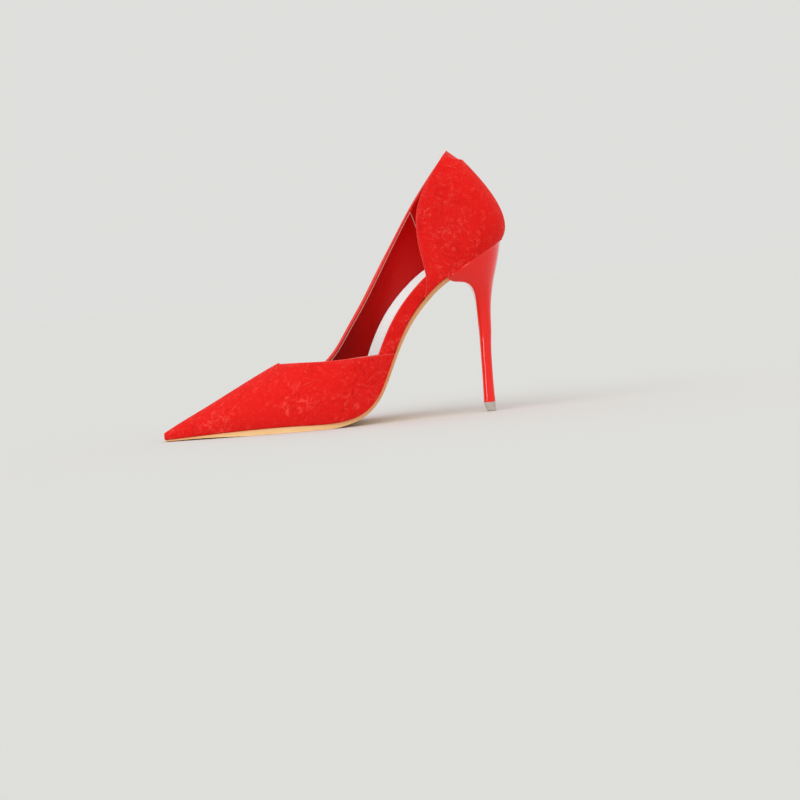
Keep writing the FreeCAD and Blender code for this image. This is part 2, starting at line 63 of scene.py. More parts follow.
# ---- Floor and light ----
# A plain pale studio floor under an even pale surround, a broad soft key from the front left,
# a weaker fill from the right, and a tall narrow softbox whose reflection runs down the heel.
SURROUND = (0.737, 0.737, 0.720)
FLOOR_SIZE = 60.0
FLOOR_GAP = 0.0001          # floor below the ground face of the part


class Socket:
    """Output of a shader node; sums and products of sockets and numbers add Math nodes."""

    def __init__(self, finish, socket):
        self.finish = finish
        self.socket = socket

    def __add__(self, other):
        return self.finish.math("ADD", self, other)

    def __radd__(self, other):
        return self.finish.math("ADD", other, self)

    def __sub__(self, other):
        return self.finish.math("SUBTRACT", self, other)

    def __rsub__(self, other):
        return self.finish.math("SUBTRACT", other, self)

    def __mul__(self, other):
        return self.finish.math("MULTIPLY", self, other)


class Finish:
    """A material: node() adds any node, constants go straight on the shader's sockets."""

    def __init__(self, name, **constants):
        self.material = bpy.data.materials.new(name)
        self.material.use_nodes = True
        self.nodes = self.material.node_tree.nodes
        self.links = self.material.node_tree.links
        self.shader = next(n for n in self.nodes if n.type == "BSDF_PRINCIPLED")
        for key, value in constants.items():
            self.put(self.shader.inputs[key.replace("_", " ")], value)

    def put(self, socket, value):
        if isinstance(value, Socket):
            self.links.new(value.socket, socket)
        elif isinstance(value, tuple) and len(value) == 3 and socket.type == "RGBA":
            socket.default_value = (*value, 1.0)
        else:
            socket.default_value = value

    def node(self, kind, settings=None, inputs=None, output=0):
        node = self.nodes.new(kind)
        for key, value in (settings or {}).items():
            setattr(node, key, value)
        for key, value in (inputs or {}).items():
            self.put(node.inputs[key], value)
        return Socket(self, node.outputs[output])

    def math(self, operation, first, second):
        return self.node("ShaderNodeMath", {"operation": operation}, {0: first, 1: second})

    def place(self):
        return self.node("ShaderNodeTexCoord", output=3)

    def noise(self, size_mm, detail=2.0, distortion=0.0, roughness=0.5, where=None):
        """Cloudy noise, 0 to 1, whose patches are about size_mm across."""
        return self.node("ShaderNodeTexNoise", None, {
            "Vector": where or self.place(), "Scale": 1000.0 / size_mm, "Detail": detail,
            "Roughness": roughness, "Distortion": distortion})

    def ramp(self, value, low, high):
        """0 below low, 1 above high, smooth between."""
        return self.node("ShaderNodeMapRange", {"interpolation_type": "SMOOTHSTEP"}, {
            "Value": value, "From Min": low, "From Max": high})

    def blend(self, factor, first, second):
        return self.node("ShaderNodeMix", {"data_type": "RGBA"}, {0: factor, 6: first, 7: second}, 2)

    def attribute(self, name):
        return self.node("ShaderNodeAttribute", {"attribute_name": name}, None, 2)

    def bump(self, height, depth_mm, strength=1.0):
        normal = self.node("ShaderNodeBump", None, {
            "Height": height, "Distance": depth_mm / 1000.0, "Strength": strength})
        self.put(self.shader.inputs["Normal"], normal)

    def base(self, colour):
        self.put(self.shader.inputs["Base Color"], colour)

    def rough(self, value):
        self.put(self.shader.inputs["Roughness"], value)


def sun(name, strength, azimuth_deg, elevation_deg, angle_deg):
    data = bpy.data.lights.new(name, "SUN")
    data.energy = strength
    data.angle = math.radians(angle_deg)
    light = bpy.data.objects.new(name, data)
    a, e = math.radians(azimuth_deg), math.radians(elevation_deg)
    away = Vector((math.sin(a) * math.cos(e), -math.cos(a) * math.cos(e), math.sin(e)))
    light.rotation_mode = "QUATERNION"
    light.rotation_quaternion = away.to_track_quat("Z", "Y")
    bpy.context.scene.collection.objects.link(light)


def softbox(name, power, centre, width, height, aim):
    data = bpy.data.lights.new(name, "AREA")
    data.shape = "RECTANGLE"
    data.size, data.size_y = width, height
    data.energy = power
    light = bpy.data.objects.new(name, data)
    light.location = centre
    light.rotation_mode = "QUATERNION"
    light.rotation_quaternion = (Vector(centre) - Vector(aim)).to_track_quat("Z", "Y")
    light.visible_diffuse = light.visible_camera = False
    bpy.context.scene.collection.objects.link(light)


world = bpy.data.worlds.new("pale_studio")
world.use_nodes = True
world.node_tree.nodes["Background"].inputs["Color"].default_value = (*SURROUND, 1.0)
world.node_tree.nodes["Background"].inputs["Strength"].default_value = 1.0
bpy.context.scene.world = world
sun("key_light", 1.15, -30.0, 50.0, 60.0)
sun("fill_light", 0.35, 60.0, 35.0, 80.0)
softbox("heel_softbox", 1.3, (-0.23, -0.34, 0.135), 0.14, 0.26, (0.09, 0.0, 0.10))

bpy.ops.object.select_all(action="DESELECT")
bpy.ops.mesh.primitive_circle_add(vertices=96, radius=FLOOR_SIZE / 2, fill_type="NGON",
                                  location=(0, 0, -FLOOR_GAP))
floor = bpy.context.object
floor.name = "studio_floor"
floor_finish = Finish("studio_floor_paint", Roughness=0.9, Specular_IOR_Level=0.0)
floor_tone = floor_finish.noise(400.0, 3.0)
floor_finish.base(floor_finish.blend(floor_tone, (0.676, 0.676, 0.662), (0.682, 0.682, 0.668)))
floor.data.materials.append(floor_finish.material)

# ---- Vamp and outer quarter ----
# The largest piece of the upper, crushed suede backed with interlining, pulled over the last
# in one piece from the toe to the back seam, its top edge folded in and stitched, and its
# lower edge turned under the insole board and cemented.
MIDDLE = (0.402, 2.910)     # middle of the length and width, which is the origin
TOE_X = -110.0
HEEL_X = 107.6
TOE_ROUND = 7.0             # lengths over which the two ends round off in plan
HEEL_ROUND = 21.0
THROAT_X = -36.0
SEAM_TOP_X = 87.3           # upper end of the back seam
BACK_FALL = 0.69            # slope of the top edge beyond it
SUEDE = 1.2
FOLDED_SUEDE = 2.05         # two layers where the top edge is folded in
FOLD_WIDTH = 3.6
MARGIN = 12.0               # width of the margin turned under

# Lasted bottom in side view: place along the shoe, height.
BOTTOM = [(-112, 1.0), (-80, 2.6), (-50, 3.6), (-25, 3.5), (-8, 3.2), (3, 4.2), (12.3, 7.0), (19.1, 11.8),
          (25, 19.3), (31.1, 31.6), (36.9, 44.1), (44.5, 57.7), (54.3, 70.1), (64.2, 79.4), (74.2, 85.8),
          (90, 94.6), (112, 106.4)]
# Feather line in plan: place along, half width on the inner side, on the outer side.
FEATHER = [(-112, 5.2, 5.2), (-103, 7.0, 7.2), (-85, 13.6, 14.6), (-60, 21.8, 24.5), (-35, 28.4, 32.6),
           (-12, 32.0, 37.4), (5, 31.6, 38.0), (20, 26.8, 35.0), (35, 20.6, 30.0), (50, 17.8, 26.2),
           (65, 19.2, 24.8), (80, 22.6, 24.8), (94, 24.2, 24.4), (112, 24.0, 24.0)]
# Ridge of the last: place of the foot of a cut, then place along and height of its top.
RIDGE = [(-112, -112, 4.0), (-106, -106, 7.3), (-85, -85, 17.7), (-60, -60, 30.2), (-36, -36, 41.6),
         (-12, -14, 53.0), (8, 4, 73.0), (24, 22, 99.0), (38, 35, 123.0), (54, 47, 145.0),
         (70, 57, 160.0), (88, 65.0, 166.8), (107.6, 74.9, 169.0)]
# Shape of a cut: place of its foot, roundness, bulge, then its bow backwards and upwards.
SECTION = [(-112, 2.0, 0.0, 0, 0), (-85, 1.9, 0.8, 0, 0), (-36, 2.0, 1.8, 0, 0), (0, 2.3, 2.2, 0, 0),
           (24, 3.0, 1.8, 0, 0), (45, 4.2, 1.6, 1.5, 0), (65, 5.5, 2.4, 6, -2), (85, 6.5, 3.2, 15.3, -6),
           (100, 7.0, 3.2, 25.7, -12.3), (107.6, 7.0, 3.2, 28.7, -15.3)]
# Top edges in side view: place along, height.
OUTER_TOPLINE = [(-36, 41.1), (-27, 37.2), (-18.5, 35.0), (-12, 36.0), (-6.2, 40.4), (0.7, 48.2),
                 (7.4, 58.0), (18.6, 74.5), (29.6, 92.2), (41.0, 110.0), (50.9, 125.4), (61.8, 140.6),
                 (79.0, 161.8)]
INNER_VAMP_EDGE = [(-36, 41.1), (-22, 41.0), (-8, 40.7), (8, 41.0), (22, 41.2), (36.5, 41.2)]
OUTER_BACK = [(79.0, 161.8), (83.1, 158.2), (87.3, 154.6)]
INNER_BACK = [(75.9, 158.5), (80.8, 155.6), (87.3, 154.6)]


class Line:
    """Smooth drawn line through a few points, each row a key and the values at that key."""

    def __init__(self, rows):
        rows = sorted(rows)
        self.keys = [float(row[0]) for row in rows]
        self.columns = [[float(v) for v in column] for column in list(zip(*rows))[1:]]
        self.bends = [self.bend(column) for column in self.columns]

    def bend(self, column):
        keys = self.keys
        count = len(keys)
        system = np.eye(count)
        right = np.zeros(count)
        for i in range(1, count - 1):
            before, after = keys[i] - keys[i - 1], keys[i + 1] - keys[i]
            system[i, i - 1:i + 2] = before, 2 * (before + after), after
            right[i] = 6 * ((column[i + 1] - column[i]) / after - (column[i] - column[i - 1]) / before)
        return np.linalg.solve(system, right).tolist()

    def at(self, key):
        i = 0
        while i < len(self.keys) - 2 and key > self.keys[i + 1]:
            i += 1
        span = self.keys[i + 1] - self.keys[i]
        b = (key - self.keys[i]) / span
        a = 1 - b
        return [a * c[i] + b * c[i + 1] + ((a ** 3 - a) * m[i] + (b ** 3 - b) * m[i + 1]) * span * span / 6
                for c, m in zip(self.columns, self.bends)]


bottom_line = Line(BOTTOM)
feather_line = Line(FEATHER)
ridge_line = Line(RIDGE)
section_line = Line(SECTION)
outer_line = Line(OUTER_TOPLINE)
inner_vamp_line = Line(INNER_VAMP_EDGE)
outer_back_line = Line(OUTER_BACK)
inner_back_line = Line(INNER_BACK)


def end_round(distance, length):
    if distance >= length:
        return 1.0
    return math.sqrt(max(0.0, 1 - (1 - distance / length) ** 2))


def half_width(x, side):
    medial, lateral = feather_line.at(x)
    width = lateral if side > 0 else medial
    return width * end_round(x - TOE_X, TOE_ROUND) * end_round(HEEL_X - x, HEEL_ROUND)


class Cut:
    """Cut across the last: point(a) goes from the feather line (a 0) up to the ridge (a 1)."""

    def __init__(self, s, side):
        x = (TOE_X + HEEL_X) / 2 - (HEEL_X - TOE_X) / 2 * math.cos(math.pi * s)
        self.side = side
        self.base = (x, bottom_line.at(x)[0] + SUEDE / 2)
        self.top = ridge_line.at(x)
        self.power, self.bulge, bow_x, bow_z = section_line.at(x)
        self.middle = ((x + self.top[0]) / 2 + bow_x, (self.base[1] + self.top[1]) / 2 + bow_z)
        self.width = half_width(x, side)

    def point(self, a):
        h = math.sin(a * math.pi / 2)
        weights = ((1 - h) ** 2, 2 * h * (1 - h), h * h)
        x, z = [sum(w * p[k] for w, p in zip(weights, (self.base, self.middle, self.top))) for k in (0, 1)]
        full = swell = 0.0
        if a < 1:
            full = math.sqrt(max(0.0, 1 - h ** self.power))
            swell = self.bulge * math.sin(math.pi * h ** 0.7) * min(1.0, self.width / 16)
        return Vector((x, self.side * (self.width * full + swell), z))


cuts = {}


def cut(s, side):
    key = (round(s, 7), side)
    if key not in cuts:
        cuts[key] = Cut(s, side)
    return cuts[key]


def outward(s, a, side):
    """Outward direction of the last's surface."""
    step = 0.004
    along = cut(min(s + step, 1.0), side).point(a) - cut(max(s - step, 0.0), side).point(a)
    up = cut(s, side).point(min(a + step, 1.0)) - cut(s, side).point(max(a - step, 0.0))
    normal = along.cross(up) * side
    if s <= 0 or s >= 1:
        normal = Vector((-up.z, 0, up.x)) if s <= 0 else Vector((up.z, 0, -up.x))
    elif a >= 1:
        normal = Vector((-along.z, 0, along.x))
    elif normal.y * side < 0:
        normal = -normal
    return normal.normalized()


# Inset and height above the lasted bottom of the margin's rows, from the feather line inwards.
MARGIN_STEPS = [(0, 0), (0.12, 0.32), (0.5, 0.1), (3.0, 0.08), (MARGIN, 0.08)]
MARGIN_ROWS = len(MARGIN_STEPS) - 1


def skin(s, a, side, depth=0.0):
    """Point of the upper, depth inside its outer face; a below 0 runs in under the insole board."""
    if a < 0:
        cross = cut(s, side)
        inset, drop = MARGIN_STEPS[round(-a)]
        x = cross.base[0]
        y = max(cross.width - depth - inset, 0.0)
        return Vector((x, side * y, bottom_line.at(x)[0] + drop + depth))
    point = cut(s, side).point(a)
    return point - outward(s, a, side) * depth if depth else point


def station(x):
    middle = (TOE_X + HEEL_X) / 2
    return math.acos(max(-1.0, min(1.0, (middle - x) / ((HEEL_X - TOE_X) / 2)))) / math.pi


def solve(low, high, value):
    """Where value() turns from negative to positive between low and high."""
    for _ in range(34):
        middle = (low + high) / 2
        if value(middle) < 0:
            low = middle
        else:
            high = middle
    return (low + high) / 2


THROAT = station(THROAT_X)


def back_edge(x, line):
    """Height of the top edge behind the peak of a quarter, falling on past the back seam."""
    if x > SEAM_TOP_X:
        return OUTER_BACK[-1][1] - BACK_FALL * (x - SEAM_TOP_X)
    return line.at(x)[0]


def outer_edge(x):
    if x < OUTER_BACK[0][0]:
        return outer_line.at(x)[0]
    return back_edge(x, outer_back_line)


def inner_edge(x):
    return back_edge(x, inner_back_line)


def inner_vamp_edge(x):
    return inner_vamp_line.at(x)[0]


def height_at(s, side, edge, drop=0.0):
    """Level a at which the cut at s meets an edge drawn in side view, drop below it."""
    if s <= THROAT:
        return 1.0
    cross = cut(s, side)

    def over(a):
        point = cross.point(a)
        return point.z + drop - edge(point.x)

    if over(0.0) >= 0:
        return 0.0
    return solve(0.0, 1.0, over) if over(1.0) > 0 else 1.0


def across_height(columns, rows, side, edge, depth=0.0, drop=0.0, margin=MARGIN_ROWS):
    """place(u, v) over given cuts, from the margin turned under up to the top edge."""
    tops = [height_at(s, side, edge, drop) for s in columns]

    def place(u, v):
        if v < margin:
            return skin(columns[u], v - margin, side, depth)
        return skin(columns[u], rows[v - margin] * tops[u], side, depth)

    return place


def spread(count, start=0.0, stop=1.0, ease=0.0):
    """count + 1 numbers from start to stop, closer together near stop when ease is above 0."""
    return [start + (stop - start) * ((1 - ease) * k / count + ease * math.sin(math.pi * k / count / 2))
            for k in range(count + 1)]


def to_frame(point):
    return Vector(((point.x - MIDDLE[0]) / 1000, (point.y - MIDDLE[1]) / 1000, point.z / 1000))


def sheet(name, columns, rows, place):
    """Flat sheet of columns x rows faces whose corners are then pulled to place(u, v)."""
    bpy.ops.object.select_all(action="DESELECT")
    bpy.ops.mesh.primitive_grid_add(x_subdivisions=columns, y_subdivisions=rows, size=1)
    piece = bpy.context.object
    piece.name = piece.data.name = name
    for corner in piece.data.vertices:
        u, v = round((corner.co.x + 0.5) * columns), round((corner.co.y + 0.5) * rows)
        corner.co = to_frame(place(u, v))
    return piece


def joined(name, *parts):
    """Sheets sewn into one piece where their edges meet, faces turned outwards."""
    bpy.ops.object.select_all(action="DESELECT")
    for part in parts:
        part.select_set(True)
    bpy.context.view_layer.objects.active = parts[0]
    if len(parts) > 1:
        bpy.ops.object.join()
    piece = bpy.context.object
    piece.name = piece.data.name = name
    bpy.ops.object.mode_set(mode="EDIT")
    bpy.ops.mesh.select_all(action="SELECT")
    bpy.ops.mesh.remove_doubles(threshold=0.00003)
    bpy.ops.mesh.dissolve_degenerate(threshold=0.00001)
    bpy.ops.mesh.delete_loose()
    bpy.ops.mesh.select_all(action="SELECT")
    bpy.ops.mesh.normals_make_consistent(inside=False)
    bpy.ops.object.mode_set(mode="OBJECT")
    return piece


def face_out(piece):
    """Turn an open skin so that its faces look away from the middle of the shoe."""
    total = 0.0
    for face in piece.data.polygons:
        away = Vector((0.0, face.center.y + MIDDLE[1] / 1000, 0.0))
        total += face.normal.dot(away) * face.area
    if total < 0:
        bpy.ops.object.mode_set(mode="EDIT")
        bpy.ops.mesh.select_all(action="SELECT")
        bpy.ops.mesh.flip_normals()
        bpy.ops.object.mode_set(mode="OBJECT")


def apply(piece, kind, **settings):
    modifier = piece.modifiers.new(kind.lower(), kind)
    for key, value in settings.items():
        setattr(modifier, key, value)
    bpy.ops.object.select_all(action="DESELECT")
    piece.select_set(True)
    bpy.context.view_layer.objects.active = piece
    bpy.ops.object.modifier_apply(modifier=modifier.name)


def thicken(piece, thickness, edge_points=(), folded=None, bevel=0.3):
    """Give an open skin its thickness inwards, more along a folded edge, and round its rim."""
    face_out(piece)
    distance = np.full(len(piece.data.vertices), 99.0)
    if len(edge_points):
        line = np.array([to_frame(p) for p in edge_points]) * 1000
        spots = np.array([v.co for v in piece.data.vertices]) * 1000
        distance = np.sqrt(((spots[:, None, :] - line[None, :, :]) ** 2).sum(2)).min(1)
    # Distance to the marked edge, which the finishes read to paint a pale highlight along it.
    values = piece.data.attributes.new("edge_mm", "FLOAT", "POINT")
    values.data.foreach_set("value", distance.astype(np.float32))
    fold = piece.vertex_groups.new(name="folded")
    for index, gap in enumerate(distance):
        fold.add([index], 1.0 if gap < FOLD_WIDTH else 0.0, "REPLACE")
    full = folded or thickness
    apply(piece, "SOLIDIFY", thickness=full / 1000, offset=-1.0, vertex_group="folded",
          thickness_vertex_group=thickness / full)
    if bevel:
        apply(piece, "BEVEL", width=bevel / 1000, segments=3, limit_method="ANGLE",
              angle_limit=math.radians(52), harden_normals=False)
    bpy.ops.object.shade_smooth_by_angle(angle=math.radians(40))


def fit(piece, finish, slot, *nodes):
    """Finish a piece and set it in the CAD frame."""
    piece.data.materials.clear()
    piece.data.materials.append(finish.material)
    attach(piece, "root")
    if nodes:
        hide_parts(*nodes)


def crushed_suede(name):
    """Red suede embossed with small angular crush marks, lighter where the nap is laid flat."""
    suede = Finish(name, Sheen_Weight=0.14, Sheen_Roughness=0.45, Sheen_Tint=(1.0, 0.25, 0.2),
                   Specular_IOR_Level=0.12)
    where = suede.place()
    drift = suede.noise(42.0, 2.0, where=where)
    cloud = suede.noise(15.0, 3.0, 0.9, 0.6, where)
    flecks = suede.noise(6.5, 3.5, 1.8, 0.6, where)
    veins = suede.noise(10.0, 2.0, 2.6, 0.5, where)
    nap = suede.noise(0.7, 2.0, where=where)
    crushed = suede.ramp(cloud * 0.7 + drift * 0.5, 0.44, 0.72)
    vein = suede.ramp(suede.math("ABSOLUTE", veins - 0.5, 0.0), 0.035, 0.006)
    marks = suede.math("MAXIMUM", suede.ramp(flecks, 0.55, 0.66), vein * suede.ramp(flecks, 0.40, 0.55)) * (
        crushed * 0.75 + 0.25)
    shadow = suede.ramp(flecks, 0.44, 0.33) * (crushed * 0.7 + 0.3)
    deep = suede.blend(drift, (0.74, 0.0080, 0.0055), (0.86, 0.0110, 0.0080))
    tone = suede.blend(marks * 0.8, deep, (0.98, 0.056, 0.042))
    tone = suede.blend(shadow * 0.5, tone, (0.56, 0.0040, 0.0028))
    tone = suede.blend(nap * 0.14, tone, (0.64, 0.0060, 0.0045))
    # Painted highlight: within about 0.75 mm of the folded top edge the colour turns pale pink, standing in
    # for light caught by the fold.
    edge = suede.attribute("edge_mm")
    rim = suede.ramp(edge, 0.75, 0.15)
    suede.base(suede.blend(rim * 0.4, tone, (0.85, 0.14, 0.12)))
    suede.rough(0.92 - marks * 0.22)
    suede.bump(marks * 0.8 - shadow * 0.6 + nap * 0.35 + cloud * 0.3, 0.35, 0.8)
    return suede


suede = crushed_suede("crushed_red_suede")
front_cuts = spread(46, 0.0, THROAT)
behind_throat = [THROAT + 0.0006, THROAT + 0.002, THROAT + 0.004, THROAT + 0.007, THROAT + 0.011]
peak = solve(station(60.0), 0.999,
             lambda s: cut(s, 1).point(height_at(s, 1, outer_edge)).x - OUTER_BACK[0][0])
outer_cuts = (front_cuts + behind_throat + spread(70, behind_throat[-1], peak)[1:]
              + spread(22, peak, 1.0)[1:])
wing_end = solve(station(20.0), station(40.0),
                 lambda s: cut(s, -1).base[1] - inner_vamp_edge(cut(s, -1).base[0]) + 0.02)
inner_cuts = front_cuts + behind_throat + spread(44, behind_throat[-1], wing_end, 0.5)[1:]
rows = spread(24, 0.0, 0.93) + [0.948, 0.966, 0.984, 1.0]
levels = len(rows) - 1 + MARGIN_ROWS


def edge_of(columns, side, edge, depth=0.0, drop=0.0):
    return [skin(s, height_at(s, side, edge, drop), side, depth) for s in columns if s > THROAT]


upper = joined(
    "vamp_and_outer_quarter",
    sheet("outer_half", len(outer_cuts) - 1, levels, across_height(outer_cuts, rows, 1, outer_edge)),
    sheet("inner_half", len(inner_cuts) - 1, levels, across_height(inner_cuts, rows, -1, inner_vamp_edge)))
throat_edge = [skin(THROAT, 1.0, 1)]
thicken(upper, SUEDE, edge_of(outer_cuts, 1, outer_edge) + throat_edge
        + edge_of(inner_cuts, -1, inner_vamp_edge), FOLDED_SUEDE)
fit(upper, suede, "suede", "vamp_and_outer_quarter")

# ---- Inner quarter ----
# The suede counter piece that wraps the heel on the inner side, cut away in front to a folded
# S-shaped edge, closed to the outer quarter at the back seam and turned under the board.
INNER_QUARTER_FRONT = [(75.9, 158.5), (64.2, 142.5), (57.2, 128.5), (55.2, 116.0), (56.3, 100.0),
                       (58.3, 86.0), (57.0, 74.0), (52.0, 60.0)]


def panel(columns, rows, side, front, edge, depth=0.0, drop=0.0, margin=MARGIN_ROWS, setback=0.0):
    """place(u, v) for a piece bounded in front by a line drawn as x by height, above by an edge."""
    front_line = Line([(z, x) for x, z in front])

    def ahead(s, a):
        point = cut(s, side).point(a)
        return point.x - setback - front_line.at(point.z)[0]

    def front_station(a):
        return solve(station(40.0), 0.9999, lambda s: ahead(s, a))

    corner = solve(station(40.0), 0.9999, lambda s: ahead(s, height_at(s, side, edge, drop)))
    corner_level = height_at(corner, side, edge, drop)
    foot = front_station(0.0)
    fronts = [front_station(v * corner_level) for v in rows]
    tops = [height_at(corner + (1 - corner) * u, side, edge, drop) for u in columns]

    def place(u, v):
        if v < margin:
            return skin(foot + (1 - foot) * columns[u], v - margin, side, depth)
        across = columns[u]
        s = (1 - across) * fronts[v - margin] + across
        return skin(s, rows[v - margin] * tops[u], side, depth)

    return place


quarter_columns = [0.0, 0.014, 0.03, 0.05] + spread(34, 0.075, 1.0)
quarter_place = panel(quarter_columns, rows, -1, INNER_QUARTER_FRONT, inner_edge)
quarter = joined("inner_quarter", sheet("quarter", len(quarter_columns) - 1, levels, quarter_place))
quarter_front = [quarter_place(0, v) for v in range(MARGIN_ROWS, levels + 1)]
quarter_top = [quarter_place(u, levels) for u in range(len(quarter_columns))]
thicken(quarter, SUEDE, quarter_front + quarter_top, FOLDED_SUEDE)
fit(quarter, suede, "suede", "inner_quarter")

# ---- Waist strip ----
# A low band of the same suede that joins vamp and inner quarter along the waist; its ends are
# tucked under both, and its lower edge is lasted like theirs.
STRIP = 0.84
STRIP_HEIGHT = 8.8
STRIP_DEPTH = SUEDE + 0.06
STRIP_FROM, STRIP_TO = 21.5, 67.0
STRIP_OPEN = (34.5, 37.5, 54.0, 58.0)   # where its foot comes down on the sole and leaves it
STRIP_STEPS, STRIP_ROWS = 40, 8


def above_bottom(point):
    """Height of a point above the lasted bottom, square to it."""
    x = point.x
    for _ in range(12):
        slope = (bottom_line.at(x + 0.05)[0] - bottom_line.at(x - 0.05)[0]) / 0.1
        height = (point.z - bottom_line.at(x)[0]) * math.cos(math.atan(slope)) - (
            point.x - x) * math.sin(math.atan(slope))
        x += 0.6 * (point.x + height * math.sin(math.atan(slope)) - x)
    return height


def strip_place(columns, rows, height, depth, margin=MARGIN_ROWS):
    tops = [solve(0.0, 0.9, lambda a: above_bottom(cut(s, -1).point(a)) - height) for s in columns]
    press = []
    for s in columns:
        x = cut(s, -1).base[0]
        rising = (x - STRIP_OPEN[0]) / (STRIP_OPEN[1] - STRIP_OPEN[0])
        falling = (STRIP_OPEN[3] - x) / (STRIP_OPEN[3] - STRIP_OPEN[2])
        press.append((depth - 0.1) * max(0.0, min(1.0, rising, falling)))

    def place(u, v):
        up = rows[v - margin] if v >= margin else 0.0
        point = skin(columns[u], up * tops[u] if v >= margin else v - margin, -1, depth)
        down = press[u] * (1 - up) if v < margin else min(press[u], SUEDE / 2 - 0.1) * (1 - up)
        return point - Vector((0, 0, down))

    return place


strip_columns = spread(STRIP_STEPS, station(STRIP_FROM), station(STRIP_TO))
strip_rows = spread(STRIP_ROWS)
strip_levels = STRIP_ROWS + MARGIN_ROWS
place_strip = strip_place(strip_columns, strip_rows, STRIP_HEIGHT, STRIP_DEPTH)
strip = joined("waist_strip", sheet("strip", STRIP_STEPS, strip_levels, place_strip))
thicken(strip, STRIP, [place_strip(u, strip_levels) for u in range(STRIP_STEPS + 1)], bevel=0.25)
fit(strip, suede, "suede", "waist_strip")

# ---- Linings ----
# Glossy dark red lining leather, in a vamp lining, an outer quarter lining and a heel grip
# that wraps the heel and overlaps the quarter lining, trimmed just below the folded top edge.
LINING_DEPTH = 2.1
LINING = 0.7
TRIM = 1.1                  # lining edge below the folded top edge
EDGE_TRIM = -0.5            # along the inner side it stands a little proud of the edge
GRIP_FRONT = [(50.5, 132.0), (53.5, 125.0), (55.8, 118.0), (60.5, 105.0), (66.0, 90.0), (69.0, 70.0)]
LINING_SPLIT = -8.0         # butt joint between vamp lining and quarter lining
LINING_ROWS = 20
QUARTER_STEPS = 60
GRIP = 0.9
GRIP_DEPTH = LINING_DEPTH + 0.15
GRIP_LAP = 3.0              # the quarter lining runs on this far behind the front of the grip
GRIP_STEPS = 40
GRIP_HIGHLIGHT_STEPS = 36         # steps of the grip's inner top edge that get the painted highlight along the edge
STRIP_LINING = 0.68


def lining_leather(name, gloss):
    """Dark red glossy leather with fine pores, with painted shade darkening it towards the toe and a pale
    painted highlight along its top edge.
    """
    leather = Finish(name, Coat_Roughness=0.2, Specular_IOR_Level=0.06)
    where = leather.place()
    pores = leather.node("ShaderNodeTexVoronoi", {"feature": "DISTANCE_TO_EDGE"}, {
        "Vector": where, "Scale": 1500.0, "Randomness": 1.0})
    cloud = leather.noise(14.0, 3.0, 0.5, where=where)
    worn = leather.noise(40.0, 2.0, where=where)
    # Painted shade: the colour darkens from the waist forward to the toe, where the inside of the shoe lies
    # in shade.
    along = leather.node("ShaderNodeSeparateXYZ", None, {"Vector": where})
    tone = leather.blend(leather.ramp(along, -0.02, 0.045), (0.20, 0.0040, 0.0016), (0.56, 0.0016, 0.0008))
    tone = leather.blend(cloud * 0.35, tone, (0.42, 0.0016, 0.0008))
    # Painted highlight: pale pink within about 0.6 mm of the marked top edge.
    rim = leather.ramp(leather.attribute("edge_mm"), 0.6, 0.3)
    leather.base(leather.blend(rim * 0.75, tone, (0.80, 0.30, 0.27)))
    leather.rough(gloss + cloud * 0.14)
    leather.put(leather.shader.inputs["Coat Weight"], 0.012 + worn * 0.02)
    leather.bump(leather.ramp(pores, 0.0, 0.12) + cloud * 0.5, 0.05, 0.5)
    return leather


lining = lining_leather("red_lining_leather", 0.30)
lining_rows = spread(LINING_ROWS)
split = station(LINING_SPLIT)
lining_front = spread(40, station(-97.0), THROAT)
lining_outer = lining_front + behind_throat + spread(14, behind_throat[-1], split)[1:]
lining_inner = lining_front + behind_throat + spread(30, behind_throat[-1], wing_end - 0.004, 0.5)[1:]
vamp_lining = joined(
    "vamp_lining",
    sheet("outer_lining", len(lining_outer) - 1, LINING_ROWS,
          across_height(lining_outer, lining_rows, 1, outer_edge, LINING_DEPTH, TRIM, 0)),
    sheet("inner_lining", len(lining_inner) - 1, LINING_ROWS,
          across_height(lining_inner, lining_rows, -1, inner_vamp_edge, LINING_DEPTH, EDGE_TRIM, 0)))
thicken(vamp_lining, LINING, edge_of(lining_outer, 1, outer_edge, LINING_DEPTH, TRIM)
        + edge_of(lining_inner, -1, inner_vamp_edge, LINING_DEPTH, EDGE_TRIM), bevel=0.3)
fit(vamp_lining, lining, "lining", "vamp_lining")

grip_line = Line([(z, x) for x, z in GRIP_FRONT])


def before_grip(columns, rows, depth):
    """place(u, v) from the butt joint with the vamp lining back to the front of the heel grip."""

    def behind(s, a):
        point = cut(s, 1).point(a)
        return point.x - grip_line.at(point.z)[0] - GRIP_LAP

    corner = solve(station(20.0), 0.9999, lambda s: behind(s, height_at(s, 1, outer_edge, TRIM)))
    corner_level = height_at(corner, 1, outer_edge, TRIM)
    backs = [solve(station(20.0), 0.9999, lambda s: behind(s, v * corner_level)) for v in rows]
    tops = [height_at(split + (corner - split) * u, 1, outer_edge, TRIM) for u in columns]

    def place(u, v):
        across, up = columns[u], rows[v]
        straight = split + (corner - split) * across
        s = straight + across * (backs[v] - corner)
        return skin(s, up * tops[u], 1, depth)

    return place


place_quarter_lining = before_grip(spread(QUARTER_STEPS), lining_rows, LINING_DEPTH)
quarter_lining = joined("outer_quarter_lining",
                        sheet("quarter_lining", QUARTER_STEPS, LINING_ROWS, place_quarter_lining))
thicken(quarter_lining, LINING,
        [place_quarter_lining(u, LINING_ROWS) for u in range(QUARTER_STEPS + 1)], bevel=0.3)
fit(quarter_lining, lining, "lining", "outer_quarter_lining")

